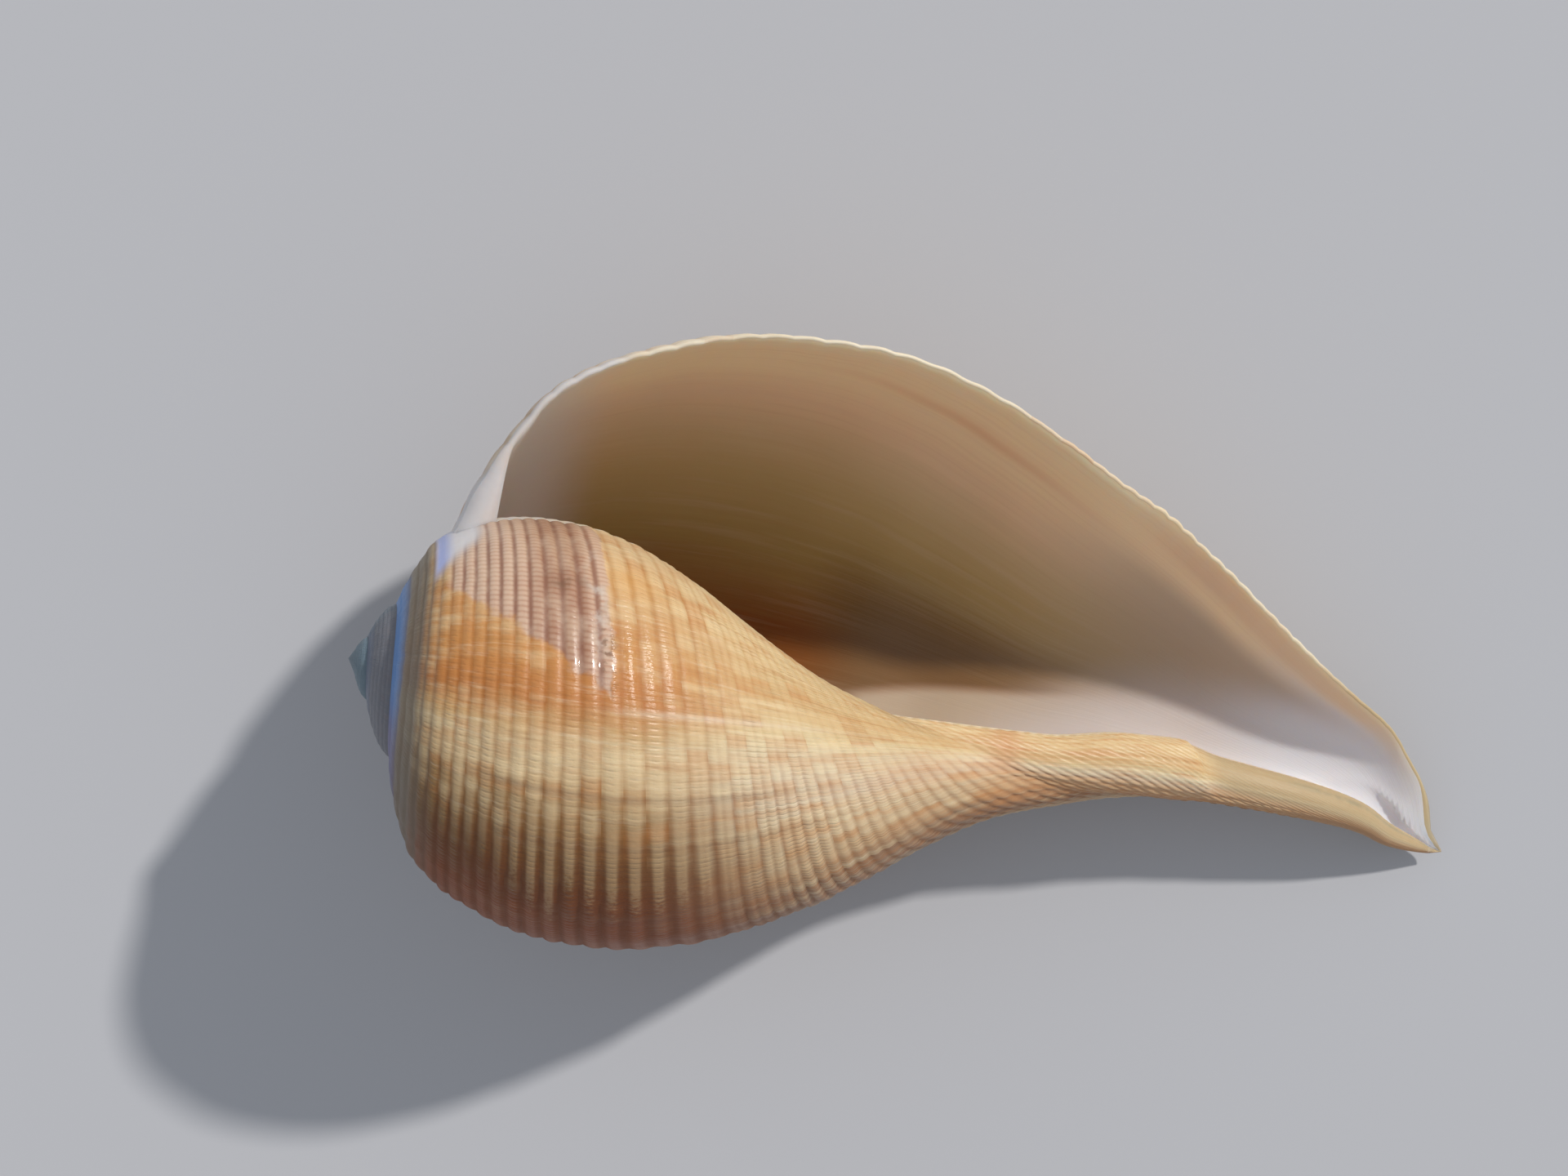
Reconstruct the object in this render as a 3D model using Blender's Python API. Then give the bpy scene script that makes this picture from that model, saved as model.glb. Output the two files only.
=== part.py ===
"""Fig shell lying on its back: one grown wall, coiled right-handed about its own axis.

The wall follows a growth spiral.  A point of the shell is given by a growth angle
("turn", 0 at the outer lip and negative back towards the apex) and by its distance
along the coiling axis.  The outline of the outer lip, shrunk by exp(GROWTH * turn),
is the outline of the shell at every earlier growth angle, down to the slim pillar
that carries the canal.
"""
import math

import bmesh
import bpy
import numpy as np
from mathutils import Matrix, Vector

MM = 0.001

# Driving dimensions, in millimetres and radians.
LENGTH = 94.0             # apex to canal tip, along the coiling axis
GROWTH = 0.133            # the shell grows by exp(GROWTH) for each radian of turn
CANAL_GROWTH = 0.096      # slower advance of the outline along the canal
CANAL_START = 55.0        # place on the axis where the slower advance sets in
LIP_ANGLE = 0.31          # the lip curls up past the side of the shell by this angle
DEPTH_RATIO = 0.945       # back-to-front radius over side-to-side radius
WALL = 1.0                # wall thickness at the lip
PITCH = math.radians(8.8)  # the canal points down by this much as the shell rests
REST_CUT = 0.22           # depth of the worn flat on the back
NECK_PINCH = 0.2          # how much the left flank narrows behind the neck
NECK_PINCH_AT = 56.0
NECK_PINCH_WIDTH = 9.0
NECK_PINCH_TURN = -1.05 * math.pi  # growth angle that faces the pinched flank
PILLAR_BLEND = 2.0        # how softly the whorl runs out into the pillar
PILLAR_BLEND_REACH = 3.0  # the blend dies away over this distance

# Outline of the outer lip: distance from the apex, radius from the axis.
LIP_OUTLINE = (
    (6.8, 10.6), (8.2, 15.1), (10.2, 19.4), (13.5, 23.9), (19.5, 27.4), (27.0, 29.8),
    (34.5, 30.3), (45.0, 28.6), (52.0, 26.1), (60.0, 22.2), (66.0, 18.7), (74.0, 14.1),
    (81.6, 10.1), (88.5, 7.4),
)
# At the mouth the outline is cut off short; earlier growth runs out along the canal.
LIP_END = ((92.3, 4.4), (94.0, 0.0))
GROWN_END = ((96.0, 4.6), (106.0, 2.0), (125.0, 0.0))
LIP_EDGE_ANGLE = 0.3      # the cut-off end fades into the grown one over this angle
CANAL_ROUNDING = 7.0      # length over which the canal closes to its tip
# Radius of the solid pillar inside the whorls and along the canal.
PILLAR_OUTLINE = ((0.0, 0.5), (30.0, 1.8), (55.0, 2.1), (65.0, 2.55), (72.0, 2.0), (83.0, 1.55),
                  (90.0, 1.0), (94.0, 0.0))
# The canal swings to the side and then bends back towards the table.
CANAL_SWAY = ((0.0, 0.0), (55.0, 0.0), (66.0, 0.7), (72.5, 0.35), (83.0, -0.6), (90.0, -2.5),
              (94.0, -3.3))
CANAL_DROP = ((0.0, 0.0), (36.0, 0.0), (50.0, -2.8), (66.0, -4.9), (74.0, -5.9), (83.0, -6.5),
              (90.0, -9.0), (94.0, -10.2))

# Mesh fineness.
STEPS_PER_TURN = 52
SPIRE_TURNS = 2           # turns of spire drawn above the body whorl
SHOULDER_COLUMNS = 4      # columns of faces across the exposed strip of a spire whorl
FLANK_COLUMNS = 24        # columns from there to the canal tip
FLANK_EVENNESS = 0.62     # 1 spaces the flank columns evenly, less crowds them at the ends
LUMEN_TURNS = 1.5         # how far back the living space is hollow
LUMEN_STEPS = 54
LUMEN_LEAST_GAP = 0.15    # the hollow is drawn where the whorls are at least this far apart
LUMEN_LEAST_SHARE = 0.3   # share of the gap between whorls that always stays hollow
LUMEN_SCAN_POINTS = 1500  # places looked at along the axis for that gap
MOUTH_ANGLE = 0.5         # the open mouth narrows to the closed hollow over this angle
LUMEN_ROUND_START = 0.05  # share of the section rounded at the suture end
LUMEN_ROUND_END = 0.03    # and at the canal end
STEEPEST_WALL = 2.0       # slope beyond which the wall is not thickened further
WALL_THINNING = 0.5       # share of the growth rate at which the wall thins up the spire
MERGE_DISTANCE = 1e-4     # points closer than this are one point
CUT_TOLERANCE = 1e-5
SHARP_ANGLE = math.radians(50.0)

TURN = 2.0 * math.pi
APEX = (0.0, 0.0, 0.0)


def smooth_curve(points):
    """Monotone cubic curve through the points, as a function of their first number."""
    xs = np.array([p[0] for p in points])
    ys = np.array([p[1] for p in points])
    gaps = np.diff(xs)
    slopes = np.diff(ys) / gaps
    tangents = np.zeros(len(xs))
    tangents[0] = slopes[0]
    tangents[-1] = slopes[-1]
    for i in range(1, len(xs) - 1):
        if slopes[i - 1] * slopes[i] > 0.0:
            w1 = 2.0 * gaps[i] + gaps[i - 1]
            w2 = gaps[i] + 2.0 * gaps[i - 1]
            tangents[i] = (w1 + w2) / (w1 / slopes[i - 1] + w2 / slopes[i])

    def curve(x):
        x = np.clip(x, xs[0], xs[-1])
        i = np.clip(np.searchsorted(xs, x) - 1, 0, len(gaps) - 1)
        t = (x - xs[i]) / gaps[i]
        start = ys[i] * (1.0 + 2.0 * t) * (1.0 - t) ** 2
        start = start + gaps[i] * tangents[i] * t * (1.0 - t) ** 2
        end = ys[i + 1] * t * t * (3.0 - 2.0 * t)
        end = end - gaps[i] * tangents[i + 1] * t * t * (1.0 - t)
        return start + end

    return curve


def closed_lip_outline():
    """The lip outline, its first radius set so that each whorl starts on the one before."""
    suture = LIP_OUTLINE[0][0]
    inner = smooth_curve(LIP_OUTLINE)(suture * math.exp(GROWTH * TURN))
    first = (suture, float(inner) * math.exp(-GROWTH * TURN))
    return (first,) + LIP_OUTLINE[1:]


SUTURE = LIP_OUTLINE[0][0]
lip_radius = smooth_curve(closed_lip_outline() + LIP_END)
grown_radius = smooth_curve(closed_lip_outline() + GROWN_END)
pillar_radius = smooth_curve(PILLAR_OUTLINE)
canal_sway = smooth_curve(CANAL_SWAY)
canal_drop = smooth_curve(CANAL_DROP)


def ease(t):
    """Smooth step from 0 to 1."""
    t = np.clip(t, 0.0, 1.0)
    return t * t * (3.0 - 2.0 * t)


def suture_at(turn):
    """Where the whorl at this growth angle starts, along the axis."""
    return SUTURE * math.exp(GROWTH * turn)


def outer_radius(turn, x):
    """Radius of the outside of the shell at a growth angle and a place on the axis."""
    along_canal = ease((x - CANAL_START) / (LENGTH - CANAL_START))
    advance = GROWTH + (CANAL_GROWTH - GROWTH) * along_canal
    on_lip = x * np.exp(-advance * turn)
    at_lip = math.exp(turn / LIP_EDGE_ANGLE)
    left = np.clip((LENGTH - x) / CANAL_ROUNDING, 0.0, 1.0)
    closing = np.sqrt(left * (2.0 - left))
    whorl = lip_radius(on_lip) * at_lip + grown_radius(on_lip) * closing * (1.0 - at_lip)
    whorl = whorl * math.exp(GROWTH * turn)
    facing_left = (0.5 * (1.0 + math.cos(turn - NECK_PINCH_TURN))) ** 2
    pinch = np.exp(-((x - NECK_PINCH_AT) / NECK_PINCH_WIDTH) ** 2)
    whorl = whorl * (1.0 - NECK_PINCH * facing_left * pinch)
    pillar = pillar_radius(x)
    soft = np.sqrt((whorl - pillar) ** 2 + PILLAR_BLEND ** 2)
    soft = soft - PILLAR_BLEND * np.exp(-np.abs(whorl - pillar) / PILLAR_BLEND_REACH)
    return 0.5 * (whorl + pillar + soft)


def place(turn, x, radius):
    """Point of the shell, in millimetres, axis along +X and apex at the origin."""
    angle = turn + LIP_ANGLE
    y = canal_sway(x) + radius * math.cos(angle)
    z = canal_drop(x) + DEPTH_RATIO * radius * math.sin(angle)
    return [Vector(p) for p in zip(x, y, z)]


def outside_columns(turn):
    """Places on the axis of one row of the outside, from the suture to the canal tip."""
    shoulder_end = suture_at(turn + TURN)
    start = suture_at(turn)
    shoulder = np.linspace(start, shoulder_end, SHOULDER_COLUMNS + 1)
    t = np.linspace(0.0, 1.0, FLANK_COLUMNS + 1)[1:]
    t = FLANK_EVENNESS * t + (1.0 - FLANK_EVENNESS) * ease(t)
    flank = shoulder_end + (LENGTH - shoulder_end) * t
    return np.concatenate([shoulder, flank])


def outside_row(turn):
    """One row of points of the outside, from the suture to the canal tip."""
    x = outside_columns(turn)
    return place(turn, x, outer_radius(turn, x))


def lumen_span(turn):
    """Where the hollow starts and ends along the axis at a growth angle."""
    x = np.linspace(suture_at(turn), LENGTH, LUMEN_SCAN_POINTS)
    room = outer_radius(turn, x) - wall_at(turn, x) - outer_radius(turn - TURN, x)
    open_places = x[room > LUMEN_LEAST_GAP]
    opening = ease(-turn / MOUTH_ANGLE)
    first = suture_at(turn) + (open_places[0] - suture_at(turn)) * opening
    last = LENGTH + (open_places[-1] - LENGTH) * opening
    return first, last


def wall_at(turn, x):
    """Radial thickness of the wall: thinner in early whorls, more where it is steep."""
    step = 0.05 * WALL
    rise = (outer_radius(turn, x + step) - outer_radius(turn, x - step)) / (2.0 * step)
    slant = np.sqrt(1.0 + np.minimum(np.abs(rise), STEEPEST_WALL) ** 2)
    return WALL * math.exp(WALL_THINNING * GROWTH * turn) * slant


def lumen_loop(turn):
    """Closed section of the hollow: under the outer wall, back over the earlier whorl."""
    first, last = lumen_span(turn)
    lip_x = outside_columns(0.0)
    out_x = first + (last - first) * (lip_x - lip_x[0]) / (LENGTH - lip_x[0])
    inner_x = outside_columns(-TURN)[SHOULDER_COLUMNS:]
    in_x = first + (last - first) * (inner_x - inner_x[0]) / (LENGTH - inner_x[0])

    whorl_before = outer_radius(turn - TURN, out_x)
    full = outer_radius(turn, out_x) - whorl_before
    room = np.maximum(full - wall_at(turn, out_x), LUMEN_LEAST_SHARE * full)
    t = (out_x - first) / (last - first)
    rounding = np.sqrt(ease(t / LUMEN_ROUND_START) * ease((1.0 - t) / LUMEN_ROUND_END))
    ceiling = place(turn, out_x, whorl_before + room * rounding)
    floor = place(turn, in_x, outer_radius(turn - TURN, in_x))
    return ceiling + floor[-2:0:-1]


def add_rows(mesh, rows, closed=False):
    """Skin neighbouring rows of points with quads."""
    made = [[mesh.verts.new(p) for p in row] for row in rows]
    count = len(made[0])
    for near, far in zip(made, made[1:]):
        for j in range(count if closed else count - 1):
            k = (j + 1) % count
            mesh.faces.new((near[j], near[k], far[k], far[j]))
    return made


def add_fan(mesh, loop, centre):
    """Close a loop of vertices with triangles about a centre point."""
    middle = mesh.verts.new(centre)
    for a, b in zip(loop, loop[1:] + loop[:1]):
        mesh.faces.new((a, b, middle))


def build_outside(mesh):
    """The body whorl and the spire above it, with the apex closed."""
    turns = [TURN * (i / STEPS_PER_TURN - 1.0) for i in range(STEPS_PER_TURN + 1)]
    body = add_rows(mesh, [outside_row(t) for t in turns])
    spire_steps = STEPS_PER_TURN * SPIRE_TURNS
    turns = [-TURN * (1.0 + i / STEPS_PER_TURN) for i in range(spire_steps + 1)]
    spire = add_rows(mesh, [outside_row(t)[:SHOULDER_COLUMNS + 1] for t in turns])
    first_whorl = [row[0] for row in spire[-STEPS_PER_TURN - 1:]]
    add_fan(mesh, first_whorl + spire[-1][1:-1], APEX)
    return body[-1]


def build_lumen(mesh):
    """The hollow that the animal lived in, from the mouth back into the spire."""
    end = -LUMEN_TURNS * TURN
    turns = [end * (i / LUMEN_STEPS) for i in range(LUMEN_STEPS + 1)]
    loops = add_rows(mesh, [lumen_loop(t) for t in turns], closed=True)
    last = [v.co for v in loops[-1]]
    add_fan(mesh, loops[-1], sum(last, Vector()) / len(last))
    return loops[0]


def build_lip(mesh, outer_edge, mouth):
    """The rim of the outer lip, between the outside and the hollow."""
    for j in range(len(outer_edge) - 1):
        mesh.faces.new((outer_edge[j], outer_edge[j + 1], mouth[j + 1], mouth[j]))


def lay_down(mesh):
    """Tip the canal towards the table and put the lowest point of the back on it."""
    bmesh.ops.rotate(mesh, verts=mesh.verts, matrix=Matrix.Rotation(PITCH, 3, "Y"))
    lowest = min(v.co.z for v in mesh.verts)
    bmesh.ops.translate(mesh, verts=mesh.verts, vec=(0.0, 0.0, -lowest - REST_CUT))
    cut = bmesh.ops.bisect_plane(
        mesh, geom=mesh.verts[:] + mesh.edges[:] + mesh.faces[:], dist=CUT_TOLERANCE,
        plane_co=(0.0, 0.0, 0.0), plane_no=(0.0, 0.0, -1.0), clear_outer=True)
    rim = [e for e in cut["geom_cut"] if isinstance(e, bmesh.types.BMEdge)]
    bmesh.ops.edgenet_fill(mesh, edges=rim)


def centre_and_scale(mesh):
    """Metres, with the origin under the middle of the shell's box."""
    bmesh.ops.scale(mesh, verts=mesh.verts, vec=(MM, MM, MM))
    xs = [v.co.x for v in mesh.verts]
    ys = [v.co.y for v in mesh.verts]
    middle = Vector((min(xs) + max(xs), min(ys) + max(ys), 0.0)) / 2.0
    bmesh.ops.translate(mesh, verts=mesh.verts, vec=-middle)


def shell_material():
    """Glossy cream and orange-tan shell."""
    material = bpy.data.materials.new("fig_shell_glaze")
    material.use_nodes = True
    shader = material.node_tree.nodes["Principled BSDF"]
    shader.inputs["Base Color"].default_value = (0.62, 0.40, 0.20, 1.0)
    shader.inputs["Roughness"].default_value = 0.32
    shader.inputs["Metallic"].default_value = 0.0
    return material


def build_shell():
    """The whole shell as one closed solid."""
    mesh = bmesh.new()
    outer_edge = build_outside(mesh)
    mouth = build_lumen(mesh)
    build_lip(mesh, outer_edge, mouth)
    bmesh.ops.remove_doubles(mesh, verts=mesh.verts, dist=MERGE_DISTANCE)
    bmesh.ops.dissolve_degenerate(mesh, edges=mesh.edges, dist=MERGE_DISTANCE)
    bmesh.ops.recalc_face_normals(mesh, faces=mesh.faces)
    lay_down(mesh)
    centre_and_scale(mesh)
    bmesh.ops.triangulate(mesh, faces=mesh.faces)
    data = bpy.data.meshes.new("fig_shell")
    mesh.to_mesh(data)
    mesh.free()
    data.shade_smooth()
    data.set_sharp_from_angle(angle=SHARP_ANGLE)
    data.materials.append(shell_material())
    shell = bpy.data.objects.new("fig_shell", data)
    bpy.context.scene.collection.objects.link(shell)
    return shell


for old in list(bpy.data.objects):
    bpy.data.objects.remove(old, do_unlink=True)
build_shell()
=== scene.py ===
# Fig shell lying on its back on a plain floor.
#
# One node tree grows the shell. A point of it is given by a growth angle ("turn", 0 at the
# lip and negative back towards the apex) and a place along the coiling axis ("along").
# Cords are the raised spiral threads: each keeps its place on the lip outline as the shell
# grows, so a column of the mesh follows a cord all the way round.
import math

import bmesh
import bpy
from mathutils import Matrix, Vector


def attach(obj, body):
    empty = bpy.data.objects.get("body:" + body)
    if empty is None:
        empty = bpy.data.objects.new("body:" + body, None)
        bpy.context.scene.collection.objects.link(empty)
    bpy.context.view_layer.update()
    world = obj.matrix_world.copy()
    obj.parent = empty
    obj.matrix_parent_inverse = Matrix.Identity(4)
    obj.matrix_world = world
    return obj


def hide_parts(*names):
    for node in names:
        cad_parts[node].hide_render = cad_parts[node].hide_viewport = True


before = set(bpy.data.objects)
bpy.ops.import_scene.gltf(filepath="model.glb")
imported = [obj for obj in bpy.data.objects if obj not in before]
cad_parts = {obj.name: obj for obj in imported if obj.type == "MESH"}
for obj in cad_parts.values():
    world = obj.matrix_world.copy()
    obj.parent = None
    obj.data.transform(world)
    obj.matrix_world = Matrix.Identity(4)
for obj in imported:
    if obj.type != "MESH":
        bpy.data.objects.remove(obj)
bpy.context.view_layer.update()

MM = 0.001
MERGE_MM = 0.003  # points of two sheets closer than this are one point
TIP_MERGE = 0.12 * MM
TURN = 2 * math.pi

# ---- Sizes of the shell, in millimetres and radians ----
LENGTH = 94
GROWTH = 0.133
CANAL_GROWTH = 0.096
CANAL_START = 55
LIP_ANGLE = 0.31
DEPTH_RATIO = 0.945
PITCH = math.radians(8.8)
NECK_PINCH = 0.2
NECK_PINCH_AT = 56
NECK_PINCH_WIDTH = 9
NECK_PINCH_TURN = -1.05 * math.pi
PILLAR_BLEND = 2
PILLAR_BLEND_REACH = 3
LIP_EDGE_ANGLE = 0.3
LIP_FLARE = 0.006  # the edge of the lip turns out by this share
LIP_FLARE_ANGLE = 0.12
LIP_FLARE_STARTS = (8, 16)
LIP_TUCK = 0.012  # the wall behind the edge draws in by this share
LIP_TUCK_AT = -0.42
LIP_TUCK_WIDTH = 0.25
SPIRE_SINK = 0.45  # the first whorls sit this much lower
SINK_STARTS = (-2, 2.5)
SINK_ENDS = (7, 3)
APEX_CAP = 0.2  # the blunt apex starts this far along the axis
APEX_PLACE = (-45.68, -4.99, 26.45)  # where the axis starts, in the solid's frame
CANAL_ROUNDING = 7
TIP_FROM = LENGTH - 4
TIP_POINT = 1.2  # the pillar ends in a small point past the lip
POINT_SLIMNESS = 0.6
SUTURE = 6.8  # where the lip meets the whorl before, along the axis
COVERED_FROM = SUTURE * math.exp(GROWTH * TURN)  # from here the next whorl covers it

LIP_OUTLINE = (
    (6.8, 11.05), (8.2, 15.1), (10.2, 19.4), (13.5, 23.9), (19.5, 27.4), (27, 29.8),
    (34.5, 30.3), (45, 28.6), (52, 26.1), (60, 22.2), (66, 18.7), (74, 14.1),
    (81.6, 10.1), (88.5, 7.4),
)
LIP_END = ((92.3, 4.4), (94, 0))
GROWN_END = ((96, 4.6), (106, 2), (125, 0))
PILLAR_OUTLINE = (
    (0, 0.5), (30, 1.8), (55, 2.1), (65, 2.55), (72, 2), (83, 1.55),
    (90, 1), (94, 0),
)
CANAL_SWAY = (
    (0, 0), (55, 0), (66, 0.7), (72.5, 0.35), (83, -0.6), (90, -2.5),
    (94, -3.3),
)
CANAL_DROP = (
    (0, 0), (36, 0), (50, -2.8), (66, -4.9), (74, -5.9), (83, -6.5),
    (90, -9), (94, -10.2),
)

# ---- The wall and the hollow under it ----
WALL = 1
STEEPEST_WALL = 2  # a steeper slope counts as this one
SLOPE_STEP = 0.08
LIP_SHARPNESS = 0.68  # the wall thins by this share at the edge of the lip
LIP_THIN_ANGLE = 0.12
LIP_THIN_STARTS = (7, 9)
LIP_CORD_ANGLE = 0.16  # the inside of the lip follows the cords this far back
LIP_CORD_SHARE = 0.9
LEAST_ROOM = 0.3  # the hollow keeps this share of the space or more
RIM_BULGE = 0.007  # the rounded edge stands out by this growth angle
HOLLOW_START = 1.19  # the hollow starts past the suture by this factor
CORNER_FILL = 1.6  # callus fills the back corner of the mouth this far
CORNER_FILL_ANGLE = 0.13
CORNER_BEND = 0.8  # how softly its inner side bends into the lip
CALLUS_SHARE = 0.036  # the wall bends down over this share of the lip
CANAL_END_SHARE = 0.965  # and from this share on it closes at the canal
FIRST_SHARE = 0.0015  # below this a column is the first one
AT_EDGE = 0.01  # closer to the lip than this is the edge itself
MIDDLE_SHARE = 0.5  # the hollow closes deep inside, halfway along
FLOOR_FADE = 1.5  # relief inside fades this near to the ends
FLOOR_FADE_ANGLE = 0.9  # and over this angle going in
# Where the hollow ends along the axis, for growth angles going back from the lip.
HOLLOW_END = (
    (0, 94), (0.6, 92.7), (1.2, 90.7), (1.8, 83.4), (2.4, 74.3), (3, 62.7),
    (3.6, 56.7), (4.8, 49), (7.2, 34.4), (9, 27),
)

# ---- Cords: their spacing on the lip grows away from the apex ----
SPACING_START = 0.72
SPACING_RATE = 0.057
WIDEST_SPACING = 3
FIRST_CORD = 0.5  # cord number at the suture; a whole number is a groove
FINE_PER_CORD = 6  # mesh columns for each cord on the body
NECK_PER_CORD = 8  # and on the neck, where cords are double
NECK_COLUMN = 150  # first column of the neck
COVERED_COLUMN = 40  # the column that lies on the next whorl's suture
LIP_COLUMNS = 238  # columns that reach the lip
ALL_COLUMNS = 448
NECK_LAG = 0.037  # cords grow slower along the neck by this rate
NECK_LAG_FROM = 60
NECK_LAG_TO = 110
COVERED_CORD = FIRST_CORD + COVERED_COLUMN / FINE_PER_CORD

CORD_HEIGHT = 0.135  # as a share of the spacing
CORD_SWAY = 0.35  # how far a cord wanders, in spacings
THREAD_CORDS = (16, 19)  # from here a thin thread lies between two cords
THREAD_SHARPNESS = 3.2
NECK_CORDS = (19, 27)  # and from here the cords are double
GROWTH_MARKS = 0.5  # height of the uneven growth, in millimetres
PITS = 0.25
SMOOTH_CANAL = (74, 84)  # the cords fade between these places on the canal

SCAR_AT = 70.3  # a mended break across the neck
SCAR_SLANT = 1.2  # it runs this far along the axis for an angle of 1
SCAR_STEP = 0.35  # the shell before it stands this much lower
CALLUS_FROM = 5.3  # cords under the white callus
CALLUS_TO = 9.4
CALLUS_TURN = -5.74
CALLUS_SLANT = 0.075  # its edge climbs by this angle a cord

# ---- The mesh ----
ROWS_PER_TURN = 120
SPIRE_TURNS = 2
LUMEN_ROWS = 60
LUMEN_TURNS = 1.2
ROWS_NEAR_LIP = 0.45  # rows of the hollow crowd near the lip
RELIEF_SEED = 0  # shifts the noise of the relief


def spacing_at(place):
    return SPACING_START + SPACING_RATE * place


# A whole number of columns fits between the suture and the next whorl's suture.
CORD_SCALE = (COVERED_COLUMN / FINE_PER_CORD) * SPACING_RATE / math.log(
    spacing_at(COVERED_FROM) / spacing_at(SUTURE))
CORD_RATE = SPACING_RATE / CORD_SCALE
EVEN_CORD = math.log(WIDEST_SPACING / spacing_at(SUTURE)) / CORD_RATE


# ---- Nodes written as sums ----
def one_node(operation, swapped=False):
    """A method of Value that adds one Math node."""
    def method(self, *others):
        terms = (self, *others)
        return self.net.math(operation, *(reversed(terms) if swapped else terms))
    return method


class Value:
    """A node socket that takes part in sums: each operator adds one Math node."""

    __add__ = one_node("ADD")
    __radd__ = one_node("ADD", swapped=True)
    __sub__ = one_node("SUBTRACT")
    __rsub__ = one_node("SUBTRACT", swapped=True)
    __mul__ = one_node("MULTIPLY")
    __rmul__ = one_node("MULTIPLY", swapped=True)
    __truediv__ = one_node("DIVIDE")
    __rtruediv__ = one_node("DIVIDE", swapped=True)
    __pow__ = one_node("POWER")
    exp = one_node("EXPONENT")
    root = one_node("SQRT")
    size = one_node("ABSOLUTE")
    part = one_node("FRACT")
    floor = one_node("FLOOR")
    sin = one_node("SINE")
    cos = one_node("COSINE")
    at_least = one_node("MAXIMUM")
    at_most = one_node("MINIMUM")

    def __init__(self, net, socket):
        self.net = net
        self.socket = socket

    def __neg__(self):
        return self * -1

    def off_middle(self):
        """0 halfway between two whole numbers, 1 at a whole number."""
        return (self.part() * 2 - 1).size()

    def above(self, level):
        """How far it lies above a level, 0 below it."""
        return (self - level).at_least(0)

    def below(self, level):
        """How far it lies below a level, 0 above it."""
        return (level - self).at_least(0)

    def rise(self, start, end):
        """0 before start, 1 after end, smooth between; start may be above end."""
        return self.net.value("ShaderNodeMapRange", {"interpolation_type": "SMOOTHSTEP"},
                              {"Value": self, "From Min": start, "From Max": end})

    def hump(self, centre, width):
        """A soft bump of height 1 about a centre."""
        away = (self - centre) / width
        return (-(away * away)).exp()

    def toward(self, other, share):
        """From this value to another one by a share."""
        return self + (other - self) * share


class Net:
    """One node tree, for geometry or for a material, and short ways to fill it."""

    def __init__(self, tree):
        self.tree = tree

    def node(self, kind, settings=None, sockets=None):
        """Add a node: its settings first, then the values or links of its sockets."""
        made = self.tree.nodes.new(kind)
        for name, setting in (settings or {}).items():
            if name == "stops":
                fill_ramp(made.color_ramp.elements, setting)
            elif name == "points":
                fill_curve(made.mapping, setting)
            else:
                setattr(made, name, setting)
        for name, given in (sockets or {}).items():
            self.connect(given, made.inputs[name])
        return made

    def connect(self, given, target):
        """Link a value or a socket to an input, or write a number or colour there."""
        if isinstance(given, Value):
            self.tree.links.new(given.socket, target)
        elif isinstance(given, bpy.types.NodeSocket):
            self.tree.links.new(given, target)
        else:
            target.default_value = given

    def value(self, kind, settings=None, sockets=None, output=0):
        return Value(self, self.node(kind, settings, sockets).outputs[output])

    def math(self, operation, *terms):
        return self.value("ShaderNodeMath", {"operation": operation}, dict(enumerate(terms)))

    def call(self, group, *given):
        """Use a group inside this tree, its inputs given in order."""
        return self.value("GeometryNodeGroup", {"node_tree": group}, dict(enumerate(given)))

    def vector(self, x, y, z):
        return self.value("ShaderNodeCombineXYZ", None, {"X": x, "Y": y, "Z": z})

    def curve(self, factor, points):
        """Smooth curve through points, as a function of their first number."""
        reach = points[-1][0]
        low = min(p[1] for p in points)
        high = max(p[1] for p in points)
        scaled = [(x / reach, (y - low) / (high - low)) for x, y in points]
        made = self.value("ShaderNodeFloatCurve", {"points": scaled}, {"Value": factor / reach})
        return made * (high - low) + low

    def noise(self, where, scale, detail=3, roughness=0.5, dimensions="3D"):
        """Soft noise between 0 and 1."""
        return self.value("ShaderNodeTexNoise", {"noise_dimensions": dimensions},
                          {"Vector": where, "Scale": scale, "Detail": detail,
                           "Roughness": roughness})

    def flat_noise(self, x, y, detail=2, roughness=0.5):
        """Soft noise between 0 and 1 over two numbers."""
        return self.noise(self.vector(x, y, 0), 1, detail, roughness, "2D")


FLOAT = "NodeSocketFloat"


def fill_curve(mapping, points):
    """Put points on a curve node, joined smoothly."""
    line = mapping.curves[0]
    line.points[0].location = points[0]
    line.points[1].location = points[-1]
    for place in points[1:-1]:
        line.points.new(*place)
    for point in line.points:
        point.handle_type = "AUTO_CLAMPED"
    mapping.update()


def fill_ramp(elements, stops):
    """Put colours on a ramp; the ramp starts with two of its own."""
    for index, (place, *colour) in enumerate(stops):
        element = elements[index] if index < 2 else elements.new(place)
        element.position = place
        element.color = srgb(colour)


def new_group(name, sizes, output, kind=FLOAT):
    """An empty node group: its net, its inputs in order and the input of its output node."""
    tree = bpy.data.node_groups.new(name, "GeometryNodeTree")
    for label, default in sizes.items():
        made = tree.interface.new_socket(label, in_out="INPUT", socket_type=FLOAT)
        made.default_value = default
    tree.interface.new_socket(output, in_out="OUTPUT", socket_type=kind)
    net = Net(tree)
    source = net.node("NodeGroupInput")
    given = [Value(net, source.outputs[label]) for label in sizes]
    return net, given, net.node("NodeGroupOutput").inputs[output]


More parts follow.
